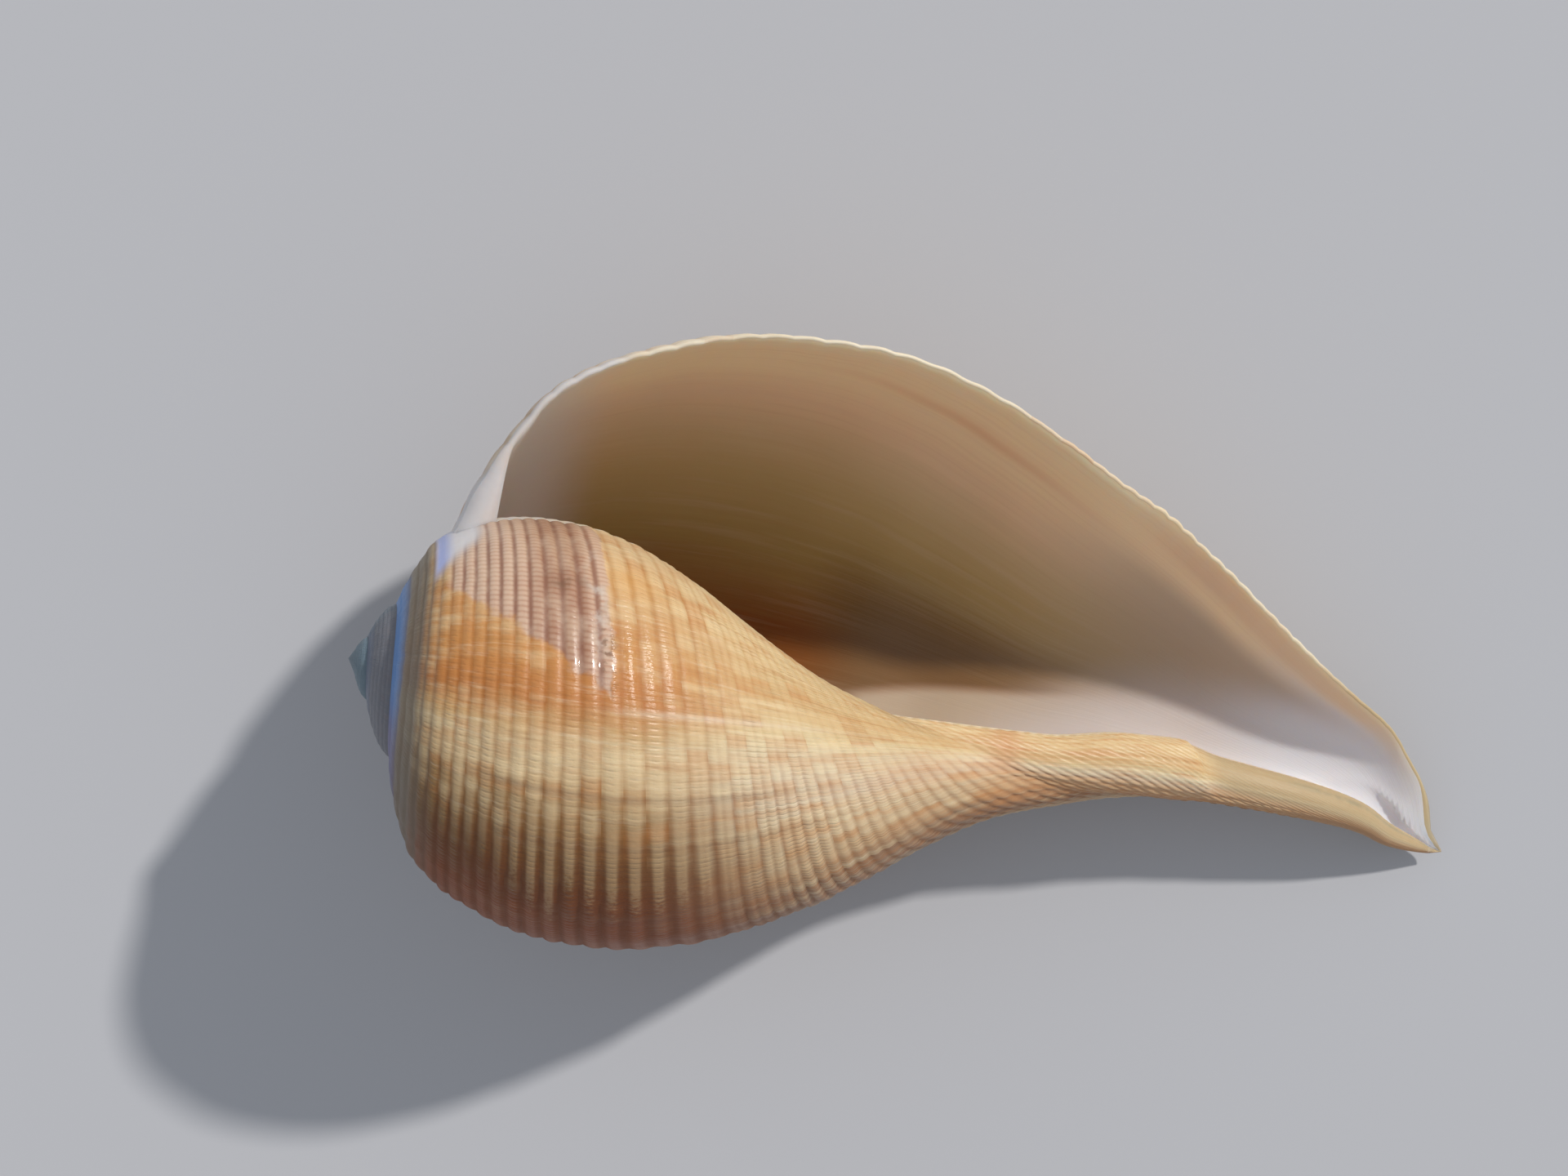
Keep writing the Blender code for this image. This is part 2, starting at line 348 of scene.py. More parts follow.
# ---- Shape ----
def radius_group():
    """Radius of the outside of the shell at a growth angle and a place on the axis."""
    sizes = {"Turn": 0, "Along": 0, "Growth": GROWTH}
    net, (turn, along, growth), result = new_group("whorl radius", sizes, "Radius")
    advance = growth.toward(CANAL_GROWTH, along.rise(CANAL_START, LENGTH))
    on_lip = along * (-advance * turn).exp()
    at_lip = (turn / LIP_EDGE_ANGLE).exp()
    left = ((LENGTH - along) / CANAL_ROUNDING).at_least(0).at_most(1)
    closing = (left * (2 - left)).root()
    lip = net.curve(on_lip, LIP_OUTLINE + LIP_END)
    grown = net.curve(on_lip, LIP_OUTLINE + GROWN_END) * closing
    whorl = (lip * at_lip + grown * (1 - at_lip)) * (growth * turn).exp()
    facing_left = (0.5 + 0.5 * (turn - NECK_PINCH_TURN).cos()) ** 2
    whorl = whorl * (1 - NECK_PINCH * facing_left * along.hump(NECK_PINCH_AT, NECK_PINCH_WIDTH))
    pillar = net.curve(along, PILLAR_OUTLINE)
    apart = whorl - pillar
    soft = (apart * apart + PILLAR_BLEND ** 2).root()
    soft = soft - PILLAR_BLEND * (-apart.size() / PILLAR_BLEND_REACH).exp()
    flare = LIP_FLARE * (turn / LIP_FLARE_ANGLE).exp()
    flare = flare - LIP_TUCK * turn.hump(LIP_TUCK_AT, LIP_TUCK_WIDTH)
    radius = 0.5 * (whorl + pillar + soft) * (1 + flare * on_lip.rise(*LIP_FLARE_STARTS))
    net.connect(radius, result)
    return net.tree


def place_group():
    """Point at a growth angle, a place on the axis and a radius."""
    sizes = {"Turn": 0, "Along": 0, "Radius": 0}
    net, (turn, along, radius), result = new_group("place", sizes, "Point", "NodeSocketVector")
    angle = turn + LIP_ANGLE
    on_axis = (radius * radius * -POINT_SLIMNESS).exp()
    along = along + TIP_POINT * along.rise(TIP_FROM, LENGTH) * on_axis
    along = along + SPIRE_SINK * along.rise(*SINK_ENDS) * along.rise(*SINK_STARTS)
    side = net.curve(along, CANAL_SWAY) + radius * angle.cos()
    height = net.curve(along, CANAL_DROP) + DEPTH_RATIO * radius * angle.sin()
    pitched_along = along * math.cos(PITCH) + height * math.sin(PITCH)
    pitched_height = height * math.cos(PITCH) - along * math.sin(PITCH)
    net.connect(net.vector(pitched_along, side, pitched_height), result)
    return net.tree


def column_cord(column):
    """Cord number of a mesh column."""
    body = column.at_most(NECK_COLUMN) / FINE_PER_CORD
    neck = column.above(NECK_COLUMN) / NECK_PER_CORD
    return FIRST_CORD + body + neck


def cord_along(cord, turn, growth):
    """Where a cord lies along the axis at a growth angle."""
    past_suture = cord - FIRST_CORD
    crowded = past_suture.at_most(EVEN_CORD) * CORD_RATE
    on_lip = (spacing_at(SUTURE) * crowded.exp() - SPACING_START) / SPACING_RATE
    on_lip = on_lip + past_suture.above(EVEN_CORD) * (WIDEST_SPACING / CORD_SCALE)
    rate = growth - NECK_LAG * on_lip.rise(NECK_LAG_FROM, NECK_LAG_TO)
    return (on_lip * (rate * turn).exp()).at_most(LENGTH)


def callus_cover(cord, turn):
    """How far the white callus covers the cords near the back corner of the mouth."""
    across = cord.rise(CALLUS_FROM - 0.5, CALLUS_FROM + 0.3)
    across = across * cord.rise(CALLUS_TO + 0.8, CALLUS_TO - 0.6)
    edge = CALLUS_TURN - CALLUS_SLANT * (cord - CALLUS_FROM)
    inside = turn - edge
    return across * inside.rise(0.1, -0.1) * turn.rise(-TURN - 0.5, -TURN - 0.4)


def in_front(turn):
    """The side of the neck that faces up as the shell lies."""
    return turn.rise(-4.1, -4.7)


def scar_place(turn, along):
    """Place along the axis, counted so that the slanting break keeps one number."""
    return along - SCAR_SLANT * (turn + 5)


def cord_ridges(net, seed, turn, cord):
    """Ridges across the cords, double on the neck, and how uneven they are."""
    sway = net.flat_noise(cord * 0.3 + seed, turn * 1.1) - 0.5
    placed = cord + CORD_SWAY * sway * cord.rise(2, 6)
    across = placed.off_middle()
    ridge = 1 - across ** 2
    thread = (1 - (1 - across) * THREAD_SHARPNESS).at_least(0)
    ridge = ridge + thread * cord.rise(*THREAD_CORDS) * 0.5
    double = 1 - (placed * 2).off_middle() ** 2
    neck = cord.rise(*NECK_CORDS)
    uneven = net.flat_noise(placed.floor() * 3.7 + seed, turn * 1.6)
    return ridge * (1 - neck) + double * neck, uneven


def cord_strength(turn, cord):
    """Cords are low at the lip, on the front of the neck and along the canal."""
    front = turn.rise(-TURN - 0.2, -TURN + 0.4) * turn.rise(-4.6, -5)
    strength = 1 - 0.55 * turn.rise(-0.6, 0)
    strength = strength * (1 - 0.45 * front * cord.rise(20, 26))
    return strength * (1 - 0.4 * cord.rise(25, 31))


def rough_places(turn, cord, along, scar):
    """1 where the relief shows, less by the suture, on the scar, canal and callus."""
    rough = cord.rise(FIRST_CORD, FIRST_CORD + 0.9) * along.rise(LENGTH, TIP_FROM)
    rough = rough * (1 - 0.7 * scar.at_least(along.rise(*SMOOTH_CANAL)))
    rough = rough * (1 - callus_cover(cord, turn))
    spire = turn.rise(-TURN - 0.35, -TURN)
    edge = cord.rise(COVERED_CORD, COVERED_CORD - 0.8)
    return rough * (spire + (1 - spire) * edge)


def relief_group():
    """Height of the cords, the threads between them, the growth marks and the scar."""
    sizes = {"Turn": 0, "Cord": 0, "Along": 0, "Cord height": CORD_HEIGHT,
             "Seed": RELIEF_SEED}
    net, (turn, cord, along, cord_height, seed), result = new_group("relief", sizes, "Height")
    grown = (GROWTH * turn).exp()
    ridge, uneven = cord_ridges(net, seed, turn, cord)
    spacing = SPACING_START + SPACING_RATE * along * (-GROWTH * turn).exp()
    spacing = spacing.at_most(WIDEST_SPACING) * grown
    height = ridge * spacing * cord_height * (0.5 + uneven)
    height = height * cord_strength(turn, cord)
    marks = net.flat_noise(turn * 9 + seed, cord * 0.08, 3) - 0.5
    pits = net.flat_noise(turn * 5 + seed, cord * 0.5, 3) - 0.5
    height = height + (marks * GROWTH_MARKS + pits * PITS) * grown
    scar = scar_place(turn, along).rise(SCAR_AT - 0.4, SCAR_AT + 0.4) * in_front(turn)
    near_scar = along.rise(SCAR_AT + 12, SCAR_AT) * along.rise(SCAR_AT - 6, SCAR_AT)
    step = SCAR_STEP * (scar - 1) * in_front(turn) * near_scar
    height = height * rough_places(turn, cord, along, scar) - step
    net.connect(height, result)
    return net.tree


def soft_above(amount):
    """The amount where it is above 0, nearly 0 below, with a soft bend between."""
    return 0.5 * (amount + (amount * amount + CORNER_BEND ** 2).root())


def going_in(row):
    """Growth angle of a row of the hollow."""
    deep = row / LUMEN_ROWS
    eased = deep * ROWS_NEAR_LIP + deep * deep * (1 - ROWS_NEAR_LIP)
    return eased * (-TURN * LUMEN_TURNS)


class Grower(Net):
    """Puts together the sheets of the shell inside the main tree."""

    def __init__(self, tree, given):
        super().__init__(tree)
        self.growth, self.wall, self.lip_sharpness, self.cord_height, self.seed = given
        self.radius = radius_group()
        self.place = place_group()
        self.relief = relief_group()

    def sheet(self, columns, rows):
        """A flat grid and its column and row numbers."""
        made = self.node("GeometryNodeMeshGrid", None, {
            "Vertices X": columns, "Vertices Y": rows, "Size X": 1, "Size Y": 1})
        place = self.node("GeometryNodeInputPosition")
        split = self.node("ShaderNodeSeparateXYZ", None, {"Vector": place.outputs[0]})
        column = (Value(self, split.outputs["X"]) + 0.5) * (columns - 1)
        row = (Value(self, split.outputs["Y"]) + 0.5) * (rows - 1)
        return made.outputs["Mesh"], (column + 0.5).floor(), (row + 0.5).floor()

    def radius_at(self, turn, along):
        return self.call(self.radius, turn, along, self.growth)

    def relief_at(self, turn, cord, along):
        return self.call(self.relief, turn, cord, along, self.cord_height, self.seed)

    def point_at(self, turn, along, radius):
        return self.call(self.place, turn, along, radius)

    def slope_at(self, turn, along, radius):
        """How fast the radius grows along the axis."""
        return (self.radius_at(turn, along + SLOPE_STEP) - radius) / SLOPE_STEP

    def outside_point(self, turn, along, lift=0):
        """Point of the outside, lifted off the smooth surface by the relief."""
        radius = self.radius_at(turn, along)
        slope = self.slope_at(turn, along, radius)
        stretch = (slope * slope + 1).root()
        return self.point_at(turn, along - lift * slope / stretch, radius + lift / stretch)

    def mix(self, share, first, second):
        """A point between two points."""
        return self.node("ShaderNodeMix", {"data_type": "VECTOR"},
                         {0: share, 4: first, 5: second}).outputs[1]

    def finish(self, mesh, point, turn, cord, along, material):
        """Keep the growth coordinates on the mesh, shape it and give it a material."""
        for name, field in (("turn", turn), ("cord", cord), ("along", along)):
            mesh = self.node(
                "GeometryNodeStoreNamedAttribute", {"data_type": "FLOAT", "domain": "CORNER"},
                {"Geometry": mesh, "Name": name, "Value": field}).outputs[0]
        moved = self.node("GeometryNodeSetPosition", None, {"Geometry": mesh, "Position": point})
        return self.node("GeometryNodeSetMaterial", None,
                         {"Geometry": moved.outputs[0], "Material": material}).outputs[0]

    def outside(self, material):
        """The body whorl, one turn of it, from the suture to the canal tip."""
        mesh, column, row = self.sheet(ALL_COLUMNS, ROWS_PER_TURN + 1)
        turn = (row / ROWS_PER_TURN - 1) * TURN
        cord = column_cord(column)
        along = cord_along(cord, turn, self.growth)
        point = self.outside_point(turn, along, self.relief_at(turn, cord, along))
        at_corner = row.rise(ROWS_PER_TURN - 1, ROWS_PER_TURN) * column.rise(1, 0)
        point = self.mix(at_corner, point, self.outside_point(turn - TURN, along))
        return self.finish(mesh, point, turn, cord, along, material)

    def spire(self, material):
        """The whorls before, of which only the strip next to the suture shows."""
        rows = ROWS_PER_TURN * SPIRE_TURNS
        mesh, column, row = self.sheet(COVERED_COLUMN + 1, rows + 1)
        turn = (row / ROWS_PER_TURN + 1) * -TURN
        cord = column_cord(column)
        last_row = row.rise(rows - 1, rows)
        cord_or_edge = cord.toward(COVERED_CORD, last_row)
        along = cord_along(cord_or_edge, turn, self.growth)
        point = self.outside_point(turn, along, self.relief_at(turn, cord_or_edge, along))
        at_seam = column.rise(COVERED_COLUMN - 1, COVERED_COLUMN) * row.rise(0, 1)
        at_seam = at_seam.at_least(last_row)
        later = turn + TURN
        point = self.mix(at_seam, point, self.outside_point(later, self.suture_at(later)))
        at_apex = row.rise(rows - ROWS_PER_TURN, rows - ROWS_PER_TURN + 1)
        at_apex = at_apex * column.rise(1, 0) * (1 - last_row)
        point = self.mix(at_apex, point, self.point_at(turn, APEX_CAP, 0))
        return self.finish(mesh, point, turn, cord, along, material)

    def suture_at(self, turn):
        return SUTURE * (self.growth * turn).exp()

    def hollow_span(self, turn):
        """Along the axis: the suture, the hollow's corner next to it and the hollow's end."""
        suture = self.suture_at(turn)
        corner = suture * HOLLOW_START + CORNER_FILL * (turn / CORNER_FILL_ANGLE).exp()
        return suture, corner, self.curve(-turn, HOLLOW_END)

    def ceiling_along(self, turn, share):
        """Place along the axis; share runs from the suture end to the canal end."""
        suture, corner, end = self.hollow_span(turn)
        at_suture = share.rise(FIRST_SHARE, 0) * turn.rise(-AT_EDGE, 0)
        reach = (end - suture) * share + suture - corner
        first = soft_above(suture - corner)
        pushed = (soft_above(reach) - first) / (soft_above(end - corner) - first)
        return corner.toward(end, pushed).toward(suture, at_suture)

    def wall_at(self, turn, along, outer):
        """Thickness of the wall, measured from the axis outwards."""
        slope = self.slope_at(turn, along, outer)
        slant = (slope.size().at_most(STEEPEST_WALL) ** 2 + 1).root()
        at_lip = (turn / LIP_THIN_ANGLE).exp() * along.rise(*LIP_THIN_STARTS)
        thin = 1 - self.lip_sharpness * at_lip
        return self.wall * (0.5 * GROWTH * turn).exp() * slant * thin

    def ceiling_place(self, turn, cord, share):
        """Under the outer wall: along the axis, the radius of the floor and its own."""
        along = self.ceiling_along(turn, share)
        before = self.radius_at(turn - TURN, along)
        outer = self.radius_at(turn, along)
        wall = self.wall_at(turn, along, outer)
        full = outer - before
        lift = self.relief_at(turn, cord, along) * (turn / LIP_CORD_ANGLE).exp()
        room = (full - wall + lift * LIP_CORD_SHARE).at_least(LEAST_ROOM * full)
        at_callus = share.rise(0, CALLUS_SHARE)
        near_lip = turn.rise(-0.6, -0.1)
        at_callus = at_callus * (1 - near_lip * (1 - at_callus.root()))
        rounding = at_callus * share.rise(1, CANAL_END_SHARE).root()
        return along, before, before + room * rounding

    def lip_share(self, cord, turn):
        """Where a cord lies on the lip, from 0 at the suture to 1 at the tip."""
        on_lip = cord_along(cord, turn * 0, self.growth)
        return (on_lip - SUTURE) / (LENGTH - SUTURE)

    def ceiling(self, material):
        """Inside of the outer wall."""
        mesh, column, row = self.sheet(LIP_COLUMNS, LUMEN_ROWS + 1)
        turn = going_in(row)
        cord = column_cord(column)
        last_row = row.rise(LUMEN_ROWS - 1, LUMEN_ROWS)
        share = self.lip_share(cord, turn).toward(MIDDLE_SHARE, last_row)
        along, before, radius = self.ceiling_place(turn, cord, share)
        point = self.point_at(turn, along, radius.toward(before, last_row))
        return self.finish(mesh, point, turn, cord, along, material)

    def floor(self, material):
        """The whorl before, as it shows inside the mouth."""
        mesh, column, row = self.sheet(ALL_COLUMNS - COVERED_COLUMN, LUMEN_ROWS + 1)
        column = column + COVERED_COLUMN
        turn = going_in(row)
        cord = column_cord(column)
        suture, corner, end = self.hollow_span(turn)
        start = corner.toward(suture, turn.rise(-AT_EDGE, 0))
        along = cord_along(cord, turn - TURN, self.growth).at_least(start).at_most(end)
        along = along.toward(start, column.rise(COVERED_COLUMN + 1, COVERED_COLUMN))
        along = along.toward(end, column.rise(ALL_COLUMNS - 2, ALL_COLUMNS - 1))
        last_row = row.rise(LUMEN_ROWS - 1, LUMEN_ROWS)
        middle = turn * 0 + MIDDLE_SHARE
        along = along.toward(self.ceiling_along(turn, middle), last_row)
        fade = (along - start).rise(0, FLOOR_FADE) * (end - along).rise(0, FLOOR_FADE)
        fade = fade.at_least(turn.rise(-AT_EDGE, 0)) * (turn / FLOOR_FADE_ANGLE).exp()
        lift = self.relief_at(turn - TURN, cord, along) * fade
        point = self.outside_point(turn - TURN, along, lift)
        return self.finish(mesh, point, turn, cord, along, material)

    def rim(self, material):
        """The edge of the outer lip, rounded over between outside and inside."""
        mesh, column, row = self.sheet(LIP_COLUMNS, 3)
        cord = column_cord(column)
        still = row * 0
        along = cord_along(cord, still, self.growth)
        outer = self.outside_point(still, along, self.relief_at(still, cord, along))
        in_along, _, in_radius = self.ceiling_place(still, cord, self.lip_share(cord, still))
        inner = self.point_at(still, in_along, in_radius)
        at_corner = column.rise(1, 0)
        middle = row.hump(1, 0.2) * (1 - at_corner)
        bulge = self.point_at(still + RIM_BULGE, in_along, in_radius)
        across = self.mix((row * 0.5).at_least(at_corner), outer, inner)
        beyond = self.node("ShaderNodeVectorMath", {"operation": "SUBTRACT"},
                           {0: bulge, 1: inner}).outputs[0]
        point = self.node("ShaderNodeVectorMath", {"operation": "MULTIPLY_ADD"},
                          {0: beyond, 1: self.vector(middle, middle, middle), 2: across})
        return self.finish(mesh, point.outputs[0], still, cord, along, material)


def shell_tree(outer_material, inner_material):
    """The tree that grows the whole shell as one closed skin, in millimetres."""
    sizes = {"Growth": GROWTH, "Wall": WALL, "Lip sharpness": LIP_SHARPNESS,
             "Cord height": CORD_HEIGHT, "Seed": RELIEF_SEED}
    net, given, result = new_group("grown shell", sizes, "Geometry", "NodeSocketGeometry")
    grower = Grower(net.tree, given)
    join = net.node("GeometryNodeJoinGeometry")
    sheets = (
        grower.outside(outer_material), grower.spire(outer_material),
        grower.rim(outer_material), grower.ceiling(inner_material),
        grower.floor(inner_material),
    )
    for mesh in sheets:
        net.connect(mesh, join.inputs[0])
    merged = net.node("GeometryNodeMergeByDistance", None,
                      {"Geometry": join.outputs[0], "Distance": MERGE_MM})
    smooth = net.node("GeometryNodeSetShadeSmooth", None, {"Geometry": merged.outputs[0]})
    real = net.node("GeometryNodeRealizeInstances", None, {"Geometry": smooth.outputs[0]})
    net.connect(real.outputs[0], result)
    return net.tree


def set_size(modifier, name, size):
    """Set a named input of the tree, before the object is first evaluated."""
    for item in modifier.node_group.interface.items_tree:
        if item.name == name and item.in_out == "INPUT":
            modifier[item.identifier] = float(size)


# ---- Colours, each part from 0 to 255 ----
HONEY = (190, 126, 66)
AMBER = (196, 130, 68)
CREAM = (238, 216, 174)
DULL_CREAM = (236, 212, 168)
IVORY = (242, 228, 200)
CHALK = (246, 232, 214)
UMBER = (140, 88, 48)
DARK_UMBER = (104, 68, 42)
GOLD_FLECK = (216, 156, 82)
GROOVE_BROWN = (136, 76, 34)
# Groove brown of the low side: partly its own brown, partly painted shade.
LOW_GROOVE_BROWN = (106, 52, 14)
CREST_CREAM = (240, 220, 184)
# Paler tops of the cords on the low side.
PALE_CORD_TOP = (192, 160, 120)
# Cool greys by the suture and on the spire, here and below: partly the shell's own grey, partly
# painted shade on the side turned away from the main light.
OLIVE_GREY = (122, 114, 100)
# Painted reflection of blue sky light on the shaded edge by the suture, and a dimmer violet grey
# one lower down.
SKY_BLUE_REFLECTION = (96, 150, 214)
DIM_SKY_REFLECTION = (120, 120, 160)
EARLY_GREY = (116, 121, 132)
APEX_GREY = (110, 130, 142)
GLAZE_PINK = (198, 160, 138)
WORN_PINK = (148, 96, 72)
GLAZE_GROOVE = (130, 82, 68)
GLAZE_BEAD = (232, 208, 186)
GLAZE_PALE = (224, 202, 178)
CRUST_WHITE = (224, 218, 208)
STAIN_BROWN = (112, 76, 50)
CALLUS_WHITE = (218, 214, 214)
# Painted reflection of blue sky light on the lower end of the white callus.
CALLUS_SKY_REFLECTION = (172, 182, 224)
SADDLE_TAN = (206, 152, 108)
CANAL_SAND = (187, 165, 129)
CANAL_SIDE_TAN = (178, 136, 98)
# Green grey painted shade along the canal's edge near its tip.
CANAL_SHADE_GREEN = (134, 134, 112)
GRAIN_BROWN = (132, 92, 56)
STREAK_TAN = (196, 150, 104)
STREAK_CREAM = (240, 218, 190)
LIP_ORANGE = (216, 158, 104)
SUTURE_GREY = (228, 224, 220)
EDGE_TAN = (216, 184, 150)
CANAL_GREY = (214, 206, 204)
# Painted shadow of the outer lip on the far side of the hollow, deep in.
LIP_SHADOW_OLIVE = (134, 102, 62)
# Pale sand of the pillar beyond the lip's painted shadow: partly its own colour, partly painted
# light.
PILLAR_SAND = (205, 183, 158)
# Painted shade inside the mouth near the canal, under the outer lip.
SHADE_MAUVE = (186, 162, 142)
CANAL_PINK_GREY = (214, 202, 196)
CANAL_WHITE = (222, 218, 220)
CORNER_WHITE = (226, 222, 216)
FLOOR_GREY = (186, 186, 190)

# Colours of the outside at growth angles, on the body's left and right. The dark browns from
# about -4.6 to -3.4 are partly the shell's own brown and partly painted shade on the side turned
# away from the main light.
LEFT_BANDS = (
    (-7, 150, 140, 120), (-6.3, 222, 192, 148), (-5.75, 214, 176, 124),
    (-5.5, 202, 148, 90), (-5.25, 200, 138, 74), (-5.05, 190, 118, 54),
    (-4.93, 200, 158, 104), (-4.85, 214, 188, 146), (-4.72, 208, 178, 134),
    (-4.58, 160, 125, 79), (-4.42, 132, 96, 50), (-4.26, 118, 80, 40),
    (-4.1, 114, 60, 20), (-3.9, 130, 60, 4), (-3.5, 136, 66, 12),
    (-3, 156, 110, 70), (-2.6, 200, 164, 120), (-2.1, 170, 120, 76),
    (-1.5, 210, 178, 134), (-1.1, 186, 138, 90), (-0.6, 206, 170, 124),
    (-0.1, 228, 210, 182), (0.1, 240, 228, 210),
)
RIGHT_BANDS = (
    (-7, 206, 184, 148), (-6.2, 226, 198, 152), (-5.75, 222, 192, 142),
    (-5.45, 212, 180, 130), (-5.2, 214, 180, 130), (-5, 220, 196, 150),
    (-4.85, 226, 210, 176), (-4.6, 220, 202, 176), (-4.4, 218, 196, 160),
    (-4.1, 206, 174, 134), (-3.8, 162, 122, 88), (-3.4, 132, 94, 66),
    (-3, 180, 142, 104), (-2.2, 208, 176, 132), (-1.5, 190, 146, 104),
    (-0.8, 214, 184, 142), (0.1, 232, 216, 192),
)
INSIDE_BANDS = (
    (-3.1, 118, 72, 36), (-1.9, 150, 90, 40), (-1.55, 156, 90, 32),
    (-1.25, 186, 153, 92), (-1, 206, 176, 122), (-0.85, 218, 190, 144),
    (-0.6, 238, 210, 172), (-0.35, 250, 226, 186), (-0.16, 248, 224, 186),
    (-0.03, 240, 222, 194), (0.01, 240, 228, 206),
)

THREAD_RATE = 0.1  # growth threads lie closer together towards the apex
THREAD_COUNT = 560
OUTER_GLOW = 0.3  # share of the light that passes through the wall
INNER_GLOW = 0.6
GLOW_DEPTH = 0.0013  # how far it travels, in metres
GLOW_COLOUR = (1, 0.72, 0.5)
OUTER_RELIEF = 0.00012  # depth of the finest threads and grain, in metres
INNER_RELIEF = 0.0001
# Edge of the painted shadow of the outer lip inside the hollow, between its olive shaded side
# and the pale pillar side: turn against along.
LIP_SHADOW_EDGE_SLOPE = 0.0183
LIP_SHADOW_EDGE_TURN = -2.552


# ---- Materials ----
def srgb(colour):
    """Linear colour from a colour written as 0 to 255."""
    def linear(part):
        part = part / 255
        return part / 12.92 if part <= 0.04045 else ((part + 0.055) / 1.055) ** 2.4
    return tuple(linear(part) for part in colour) + (1,)


class Paint(Net):
    """A material with colour helpers."""

    def __init__(self, name):
        self.material = bpy.data.materials.new(name)
        self.material.use_nodes = True
        super().__init__(self.material.node_tree)
        self.shader = self.tree.nodes["Principled BSDF"]

    def kept(self, name):
        return self.value("ShaderNodeAttribute", {"attribute_name": name}, output="Fac")

    def blend(self, factor, first, second):
        """From one colour to another by a factor."""
        made = self.node("ShaderNodeMix", {"data_type": "RGBA"}, {0: factor})
        for colour, target in ((first, made.inputs[6]), (second, made.inputs[7])):
            self.connect(srgb(colour) if isinstance(colour, tuple) else colour, target)
        return made.outputs[2]

    def coats(self, colour, *coats):
        """Lay coats over a colour: each is a cover from 0 to 1 and a colour."""
        for cover, coat in coats:
            colour = self.blend(cover, colour, coat)
        return colour

    def ramp(self, factor, stops):
        """Colours at growth angles, from the oldest to the lip."""
        low = stops[0][0]
        span = stops[-1][0] - low
        shares = [((place - low) / span, *colour) for place, *colour in stops]
        return self.node("ShaderNodeValToRGB", {"stops": shares},
                         {0: (factor - low) / span}).outputs["Color"]

    def use(self, name, given):
        self.connect(given, self.shader.inputs[name])

    def bump(self, strength, depth, height):
        sockets = {"Strength": strength, "Distance": depth, "Height": height}
        self.use("Normal", self.node("ShaderNodeBump", None, sockets).outputs[0])

    def glow(self, weight):
        """Some light passes through the thin wall."""
        self.use("Subsurface Weight", weight)
        self.use("Subsurface Radius", GLOW_COLOUR)
        self.use("Subsurface Scale", GLOW_DEPTH)


class Skin(Paint):
    """Paint that knows where a point lies as the shell grows, and noise in space."""

    def __init__(self, name, scale, detail):
        super().__init__(name)
        self.turn = self.kept("turn")
        self.along = self.kept("along")
        self.here = self.node("ShaderNodeTexCoord").outputs["Object"]
        self.wander = self.noise(self.here, scale, detail) - 0.5

    def streaks(self, rate, across, other_rate):
        """Streaks that follow a growth line: long across the cords, short the other way."""
        return self.flat_noise(self.turn * rate, across * other_rate, 4, 0.62)


class OuterSkin(Skin):
    """The ribbed side: also the cords, their grooves and two finer noises."""

    def __init__(self, name):
        super().__init__(name, 90, 2)
        self.cord = self.kept("cord")
        self.blotch = self.noise(self.here, 420, 4, 0.6)
        self.fine = self.noise(self.here, 1600, 3)
        self.across = self.cord.off_middle()
        # The side of the body that hangs low, turned away from the main light: its darker brown
        # and wider grooves are partly its own colour and partly painted shade.
        self.low = self.turn.rise(-4.75, -4.2) * self.turn.rise(-3, -3.6)
        self.low = self.low * self.cord.rise(29, 20)
        neck = self.cord.rise(*NECK_CORDS)
        narrow = self.across.rise(0.4, 0.95)
        groove = narrow.toward(self.across.rise(0.2, 0.8), self.low)
        double = (self.cord * 2).off_middle().rise(0.3, 0.95)
        groove = groove * (1 - neck) + double * neck
        self.groove = groove * self.turn.rise(0, -0.12)
        self.crest = 1 - self.groove

    def thread(self):
        """Fine growth threads across the cords: 0 on a thread, 1 between two."""
        phase = (self.turn * THREAD_RATE).exp() * THREAD_COUNT + self.wander * 2
        return phase.off_middle()


def body_colour(skin):
    """Growth bands with lighter and darker streaks, cells between cords and fine lines."""
    turn, cord = skin.turn, skin.cord
    lines = skin.streaks(40, cord, 0.28)
    broad = skin.streaks(11, cord, 0.1)
    cells = skin.flat_noise(turn * 7, cord.floor() * 2.3)
    band = turn + skin.wander * 0.2 + (cells - 0.5) * 0.22 + (lines - 0.5) * 0.08
    right = cord.rise(18, 27)
    colour = skin.blend(right, skin.ramp(band, LEFT_BANDS), skin.ramp(band, RIGHT_BANDS))
    # Painted shade: the side of the body turned away from the main light, where the streaks show
    # less.
    dark = turn.rise(-4.6, -4.25) * turn.rise(-3.2, -3.6) * cord.rise(28, 20)
    light = 1 - 0.85 * dark
    colour = skin.coats(
        colour,
        (broad.above(0.52) * 2.2 * light, HONEY), (broad.below(0.46) * 1.8 * light, CREAM),
        (cells.above(0.5) * 2.2 * light, AMBER), (cells.below(0.45) * 1.8 * light, DULL_CREAM),
        (lines.above(0.56) * 1.2 * light, IVORY), (lines.below(0.45) * 1.2 * light, UMBER))
    colour = growth_stops(skin, cells, colour)
    flecks = turn.hump(-5.74, 0.12) * cord.hump(19, 1.6)
    return skin.blend(flecks * 0.7, colour, GOLD_FLECK)


def growth_stops(skin, cells, colour):
    """Thin lines where the lip once stood: a pale one and two dark ones."""
    turn, cord = skin.turn, skin.cord
    pale_line = (turn + 0.004 * (cord - 19)).hump(-5.03, 0.018)
    pale_line = pale_line * cord.rise(15.5, 21) * cord.rise(31, 25) * (0.2 + 1.1 * cells)
    stops = (turn + skin.wander * 0.03).hump(-4.4, 0.022)
    stops = stops + (turn + skin.wander * 0.04).hump(-4.64, 0.02)
    stops = stops * cord.rise(8, 12) * cord.rise(30, 22)
    return skin.coats(colour, (pale_line * 0.4, CHALK), (stops * 0.4, DARK_UMBER))


